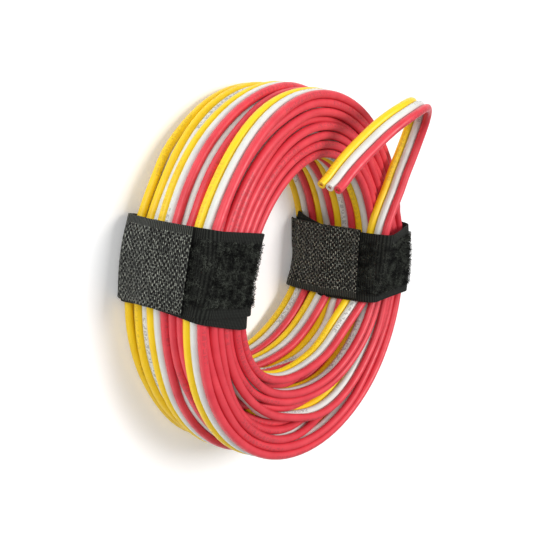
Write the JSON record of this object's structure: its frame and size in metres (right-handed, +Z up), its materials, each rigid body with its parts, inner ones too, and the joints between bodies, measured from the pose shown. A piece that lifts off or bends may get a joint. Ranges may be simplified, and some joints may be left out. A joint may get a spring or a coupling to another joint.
{
  "type": "coiled three-core flexible cable",
  "caption": "Flat ribbon of three bonded insulated cores wound into a ring, with one free end and two hook-and-loop straps.",
  "frame": {"origin": "middle of the outer size on the surface that the coil lies on, under the straps", "axes": "+Z up along the ring's axis, out of the face where the red cores show; -X towards the near strap, +X towards the far strap"},
  "size_m": [0.0727, 0.0692, 0.0298],
  "materials": {
    "insulation_yellow": "smooth soft PVC with a satin sheen",
    "insulation_white": "smooth soft PVC with a satin sheen",
    "insulation_red": "smooth soft PVC with a satin sheen",
    "copper": "bare stranded copper, cut ends",
    "loop_pile": "black brushed loop pile",
    "hook_weave": "black woven tape, fine ribs"
  },
  "bodies": {
    "root": {"cable_coil": "insulation_red", "tail_yellow": "insulation_yellow", "tail_white": "insulation_white", "tail_red": "insulation_red", "conductor_yellow": "copper", "conductor_white": "copper", "conductor_red": "copper", "near_loop_tape": "loop_pile", "near_hook_tape": "hook_weave", "far_loop_tape": "loop_pile", "far_hook_tape": "hook_weave"}
  },
  "joints": []
}
